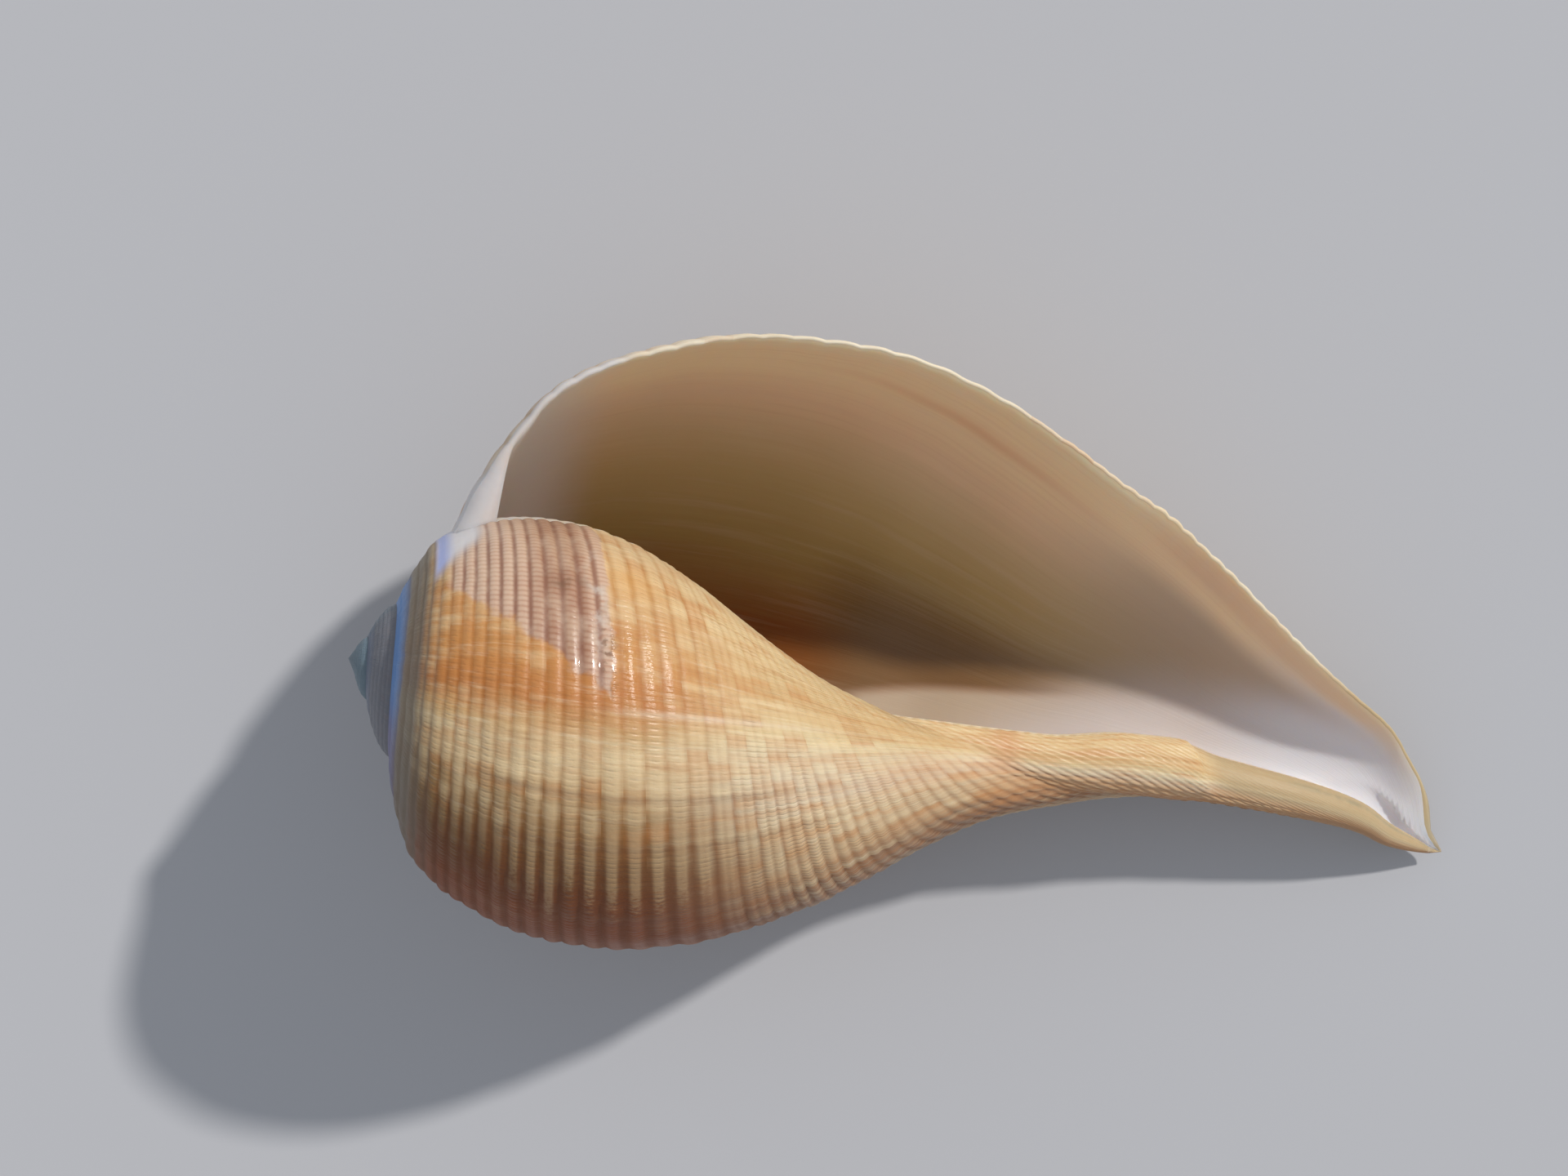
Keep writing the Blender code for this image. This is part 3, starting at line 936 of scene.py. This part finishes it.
def cord_colour(skin, colour):
    """Darken the grooves and lighten the tops of the cords."""
    turn, cord = skin.turn, skin.cord
    uneven = skin.flat_noise(cord.floor() * 5.1, 0, 0)
    neck_side = cord.rise(27, 31) * turn.rise(-4.9, -4.3) * 0.05
    faint = cord.rise(20, 26) * turn.rise(-4.6, -4.95)
    # On the low side the grooves darken further and the cream crests fade: partly painted shade.
    depth = 0.2 * (1 - 0.8 * faint) + 0.4 * skin.low + neck_side
    brown = skin.blend(skin.low, GROOVE_BROWN, LOW_GROOVE_BROWN)
    crest = skin.crest * cord.rise(6, 9) * (1 - 0.8 * turn.hump(-5.2, 0.28))
    crest = crest * (1 - turn.rise(-4.5, -4.15) * turn.rise(-3, -3.5))
    # Paler tops of the cords on the low side, ending unevenly.
    top = skin.across.rise(0.65, 0.25) * skin.low * cord.rise(10, 14)
    ragged = skin.streaks(60, cord, 3)
    top_end = turn + 0.35 * (uneven - 0.5) + 0.5 * (ragged - 0.5)
    return skin.coats(
        colour, (skin.groove * depth * (0.7 + 0.6 * uneven), brown),
        (crest * 0.2, CREST_CREAM), (top * top_end.rise(-4, -4.24) * 0.5, PALE_CORD_TOP))


def shoulder_colour(skin, colour):
    """Olive grey next to the suture, a painted blue sky reflection on its edge, grey green early
    whorls; the greys are partly their own colour and partly painted shade.
    """
    turn, cord = skin.turn, skin.cord
    behind_lip = turn.rise(-0.8, -1.6)
    near = cord.rise(7.4, 3.8) * behind_lip
    near = near * (1 - 0.45 * skin.crest * cord.rise(3.6, 5.5))
    # Painted sky reflection on the shaded suture edge.
    sky_reflection = skin.blend(turn.rise(-4.9, -4.2), SKY_BLUE_REFLECTION, DIM_SKY_REFLECTION)
    early = turn.rise(-TURN - 0.3, -TURN - 0.8)
    first = turn.rise(-TURN * 2 + 0.6, -TURN * 2 - 0.6)
    return skin.coats(
        colour, (near * 0.85, OLIVE_GREY), (cord.rise(2.5, 1.3) * behind_lip * 0.85, sky_reflection),
        (early * 0.9, EARLY_GREY), (first, APEX_GREY))


def glaze_cover(skin):
    """Where the pink glaze of the inner lip lies over the cords."""
    uneven = skin.blotch - 0.5
    edge = -5.6 + 0.05 * (skin.cord - 7.5) + skin.wander * 0.12 + uneven * 0.24
    cover = (skin.turn - edge).rise(0.03, -0.03) * (skin.cord + uneven * 1.6).rise(17.75, 17.45)
    return cover * skin.cord.rise(6, 7.5) * skin.turn.rise(-TURN - 0.4, -TURN - 0.2)


def glaze_colour(skin):
    """Pink with darker grooves, worn brown on its right, with pale beads on the cords."""
    worn = skin.cord.rise(12, 14.5) * skin.cord.rise(17, 16.2)
    beads = skin.thread().rise(0.9, 0.3) * skin.crest * (0.4 - 0.2 * worn)
    return skin.coats(
        GLAZE_PINK, (worn * 0.8, WORN_PINK), (skin.groove * 0.8, GLAZE_GROOVE),
        (beads, GLAZE_BEAD), (skin.blotch.above(0.45) * 1.4, GLAZE_PALE))


def glaze_marks(skin, colour):
    """Pale crust along the glaze's right edge and brown stains on it."""
    turn, cord = skin.turn, skin.cord
    crust = cord.hump(17, 0.55) * turn.hump(-5.6, 0.3) * skin.blotch.rise(0.4, 0.6)
    stain = turn.hump(-5.64, 0.045) * cord.hump(15.3, 1.1) * skin.blotch.rise(0.35, 0.55)
    specks = turn.hump(-5.3, 0.16) * cord.hump(17.4, 0.45) * skin.fine.rise(0.5, 0.65)
    stain = (stain + specks * 0.9).at_most(1)
    return skin.coats(colour, (crust * 0.6, CRUST_WHITE), (stain * 0.75, STAIN_BROWN))


def white_cover(skin):
    """The white callus, the corner of the lip by it and the suture at the lip."""
    corner = skin.turn.rise(-0.12, -0.03) * skin.cord.rise(8.6, 7.4) * 0.8
    suture = skin.turn.rise(-0.5, -0.2) * skin.cord.rise(2.6, 1.4)
    return (callus_cover(skin.cord, skin.turn) + corner + suture).at_most(1)


def saddle_cover(skin):
    """Tan on the saddle where the body narrows into the neck, and on its low side."""
    turn, along = skin.turn, skin.along
    saddle = along.hump(52.6, 1.5) * turn.rise(-4.3, -4.9)
    saddle = saddle + turn.hump(-4.65, 0.26) * skin.cord.hump(31.5, 3) * 0.6
    low_side = along.rise(48, 55) * turn.rise(-4.75, -4.4) * turn.rise(-3.2, -3.8)
    return (saddle + low_side * 0.8).at_most(1)


def canal_cover(skin):
    """The plain canal: past the mended break in front, further along elsewhere."""
    canal = scar_place(skin.turn, skin.along).rise(SCAR_AT - 0.5, SCAR_AT + 3)
    return (canal * in_front(skin.turn)).at_least(skin.along.rise(76, 84))


def canal_colour(skin, canal, colour):
    """Sand, tan on the low side, with a green tinge near the tip that is painted shade along the
    canal's edge.
    """
    low_side = skin.turn.rise(-4.9, -4.2) * skin.turn.rise(-2.4, -3.4)
    sand = skin.blend(low_side, CANAL_SAND, CANAL_SIDE_TAN)
    shaded_canal_edge = skin.turn.hump(-5.75, 0.2) * skin.along.rise(76, 82)
    shaded_canal_edge = shaded_canal_edge * skin.blotch.rise(0.3, 0.6)
    return skin.coats(
        colour, (canal * (0.95 - 0.25 * skin.groove), sand), (shaded_canal_edge * 0.5, CANAL_SHADE_GREEN))


def threads_height(skin):
    """Fine growth threads that cross the cords and bead them, uneven in places."""
    lines = skin.streaks(60, skin.cord, 0.9)
    patch = skin.streaks(5, skin.cord, 0.6).rise(0.38, 0.64)
    on_crest = 1.1 - skin.across * skin.cord.rise(26, 20)
    return lines * 0.5 - skin.thread().rise(0.4, 1) * (0.05 + 0.45 * patch) * on_crest


def outer_layer():
    """Ribbed outside with growth bands, pink glaze, white callus and smooth canal."""
    skin = OuterSkin("ribbed_outer_layer")
    glaze = glaze_cover(skin)
    white = white_cover(skin)
    canal = canal_cover(skin)
    colour = body_colour(skin)
    colour = cord_colour(skin, colour)
    colour = shoulder_colour(skin, colour)
    colour = skin.blend(glaze * 0.88, colour, glaze_colour(skin))
    colour = glaze_marks(skin, colour)
    # Painted blue sky reflection on the callus by the suture, low on the body.
    callus_sky_reflection = skin.cord.rise(7.4, 5.8) * skin.turn.rise(-5, -5.4)
    callus = skin.blend(callus_sky_reflection, CALLUS_WHITE, CALLUS_SKY_REFLECTION)
    colour = skin.coats(colour, (white, callus), (saddle_cover(skin) * 0.6, SADDLE_TAN))
    colour = canal_colour(skin, canal, colour)
    skin.use("Base Color", skin.blend(0.12 * skin.fine, colour, GRAIN_BROWN))
    threads = threads_height(skin) * skin.along.rise(52, 36)
    smooth = (1 - 0.7 * canal) * (1 - white) * (1 - 0.4 * glaze)
    height = (threads + skin.fine * 0.5 + skin.blotch * 0.5) * smooth
    skin.bump(0.6, OUTER_RELIEF, height)
    polish = skin.cord.hump(18.8, 3) * skin.turn.hump(-5.28, 0.3) * skin.crest
    skin.use("Roughness", 0.38 + 0.18 * skin.groove + 0.1 * skin.wander - 0.18 * polish)
    skin.use("Coat Weight", (glaze * 0.5).at_most(1))
    skin.use("Specular IOR Level", 0.3)
    skin.glow(OUTER_GLOW)
    return skin.material


def inside_colour(skin, fine_streak):
    """Growth bands of the inside, with tan and cream streaks."""
    streak = skin.streaks(14, skin.along, 0.03)
    back = skin.turn + skin.wander * 0.16 + (streak - 0.5) * 0.16
    return skin.coats(
        skin.ramp(back, INSIDE_BANDS), (fine_streak.above(0.5) * 0.5, STREAK_TAN),
        (streak.below(0.48), STREAK_CREAM))


def lip_colour(skin, colour):
    """An orange line behind the lip, grey by the suture, tan and grey near the canal."""
    turn, along = skin.turn, skin.along
    orange = (turn + 0.05 * skin.wander).hump(-0.31, 0.035) * along.hump(46, 10)
    edge = along.rise(58, 68) * turn.rise(-0.3, -0.12)
    return skin.coats(
        colour, (orange * 0.4, LIP_ORANGE), (along.rise(18.5, 11) * 0.9, SUTURE_GREY),
        (edge * 0.6, EDGE_TAN), (along.rise(70, 84) * turn.rise(-0.1, -0.3), CANAL_GREY))


def pillar_colour(skin, colour):
    """Painted shadow of the outer lip in dark olive deep in, edged by pale sand along the pillar
    that is partly its own colour and partly painted light; painted shade in mauve near the
    canal; pale along the canal.
    """
    turn, along = skin.turn, skin.along
    # Painted shadow of the outer lip: olive above its edge, pale sand on the lit pillar side
    # below.
    lit_pillar_side = (turn - (along * LIP_SHADOW_EDGE_SLOPE + LIP_SHADOW_EDGE_TURN)).rise(0.05, -0.03)
    painted_lip_shadow = along.rise(36, 44) * along.rise(70, 56) * turn.rise(-1.1, -1.45)
    painted_canal_shade = along.rise(52, 70) * turn.rise(-0.2, -0.5)
    canal = (along - 20 * turn).rise(84, 96)
    return skin.coats(
        colour, (painted_lip_shadow * (1 - lit_pillar_side) * 0.85, LIP_SHADOW_OLIVE),
        (along.rise(38, 44) * lit_pillar_side, PILLAR_SAND), (painted_canal_shade * 0.8, SHADE_MAUVE),
        (canal * along.rise(42, 56), CANAL_PINK_GREY),
        (canal * along.rise(70, 80), CANAL_WHITE))


def inner_glaze():
    """Smooth inside: beige at the lip, golden brown deep in, white along the canal."""
    skin = Skin("inner_glaze", 60, 3)
    fine_streak = skin.streaks(48, skin.along, 0.05)
    colour = inside_colour(skin, fine_streak)
    colour = lip_colour(skin, colour)
    colour = pillar_colour(skin, colour)
    corner = skin.turn.rise(-0.2, -0.06) * skin.along.rise(11.6, 10.4)
    skin.use("Base Color", skin.blend(corner, colour, CORNER_WHITE))
    skin.use("Roughness", 0.36 + 0.1 * skin.wander)
    skin.bump(0.25, INNER_RELIEF, skin.noise(skin.here, 300, 3) + fine_streak * 0.8)
    skin.glow(INNER_GLOW)
    return skin.material


def add_object(name, data):
    """A new object of the scene."""
    made = bpy.data.objects.new(name, data)
    bpy.context.scene.collection.objects.link(made)
    return made


# ---- The shell ----
def grow_shell():
    """Grow the shell, set it where the solid lies and press its worn back flat."""
    start = add_object("seed", bpy.data.meshes.new("seed"))
    modifier = start.modifiers.new("growth", "NODES")
    modifier.node_group = shell_tree(outer_layer(), inner_glaze())
    set_size(modifier, "Wall", WALL)
    set_size(modifier, "Cord height", CORD_HEIGHT)
    set_size(modifier, "Seed", RELIEF_SEED)
    bpy.context.view_layer.update()
    evaluated = start.evaluated_get(bpy.context.evaluated_depsgraph_get())
    mesh = bpy.data.meshes.new_from_object(evaluated)
    bpy.data.objects.remove(start, do_unlink=True)
    mesh.name = "grown_shell"
    settle(mesh)
    return add_object("grown_shell", mesh)


def settle(mesh):
    """Scale to metres, set the apex in its place, close the skin and press the back flat."""
    skin = bmesh.new()
    skin.from_mesh(mesh)
    apex = Vector(APEX_PLACE) * MM
    for corner in skin.verts:
        corner.co = corner.co * MM + apex
        corner.co.z = max(corner.co.z, 0)
    bmesh.ops.remove_doubles(skin, verts=skin.verts, dist=MERGE_MM * MM)
    blunt_tip(skin)
    bmesh.ops.recalc_face_normals(skin, faces=skin.faces)
    skin.to_mesh(mesh)
    skin.free()
    mesh.update()


def blunt_tip(skin):
    """Draw the slivers at the tip of the canal together into one point."""
    tip = max((corner.co for corner in skin.verts), key=lambda place: place.x).copy()
    close = [corner for corner in skin.verts if (corner.co - tip).length < TIP_MERGE]
    bmesh.ops.pointmerge(skin, verts=close, merge_co=tip)


# ---- Floor, camera and light ----
CAMERA_PLACE = (-0.01355, 0.00544, 0.1846)
CAMERA_TURN = math.radians(9.07)
CAMERA_LENS = 48
SUN_STEEPNESS = 1.171  # level distance over height of the main light
SUN_BEARING = math.radians(40.3)  # above the camera's right
FLOOR_CORNERS = ((-1.5, -1.5, 0), (1.5, -1.5, 0), (1.5, 1.5, 0), (-1.5, 1.5, 0))


def add_floor():
    paint = Paint("plain_floor")
    paint.use("Base Color", srgb(FLOOR_GREY))
    paint.use("Roughness", 0.85)
    mesh = bpy.data.meshes.new("floor")
    mesh.from_pydata(FLOOR_CORNERS, [], [(0, 1, 2, 3)])
    mesh.materials.append(paint.material)
    add_object("floor", mesh)


def add_camera():
    data = bpy.data.cameras.new("camera")
    data.lens = CAMERA_LENS
    data.clip_start = 0.01
    camera = add_object("camera", data)
    camera.location = CAMERA_PLACE
    camera.rotation_euler = (0, 0, CAMERA_TURN)
    bpy.context.scene.camera = camera


def add_main_light():
    """A soft sun from behind the right of the camera's view."""
    bearing = SUN_BEARING + CAMERA_TURN
    towards = Vector((math.cos(bearing) * SUN_STEEPNESS, math.sin(bearing) * SUN_STEEPNESS, 1))
    data = bpy.data.lights.new("main_light", "SUN")
    data.energy = 2.45
    data.angle = math.radians(3)
    data.color = (1, 0.97, 0.92)
    lamp = add_object("main_light", data)
    lamp.rotation_euler = towards.to_track_quat("Z", "Y").to_euler()


def add_room_light():
    world = bpy.data.worlds.new("soft_room")
    world.use_nodes = True
    sky = world.node_tree.nodes["Background"]
    sky.inputs["Color"].default_value = (0.86, 0.92, 1, 1)
    sky.inputs["Strength"].default_value = 0.5
    bpy.context.scene.world = world


shell = grow_shell()
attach(shell, "root")
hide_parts("fig_shell")
add_floor()
add_camera()
add_main_light()
add_room_light()
bpy.context.scene.view_settings.view_transform = "Standard"
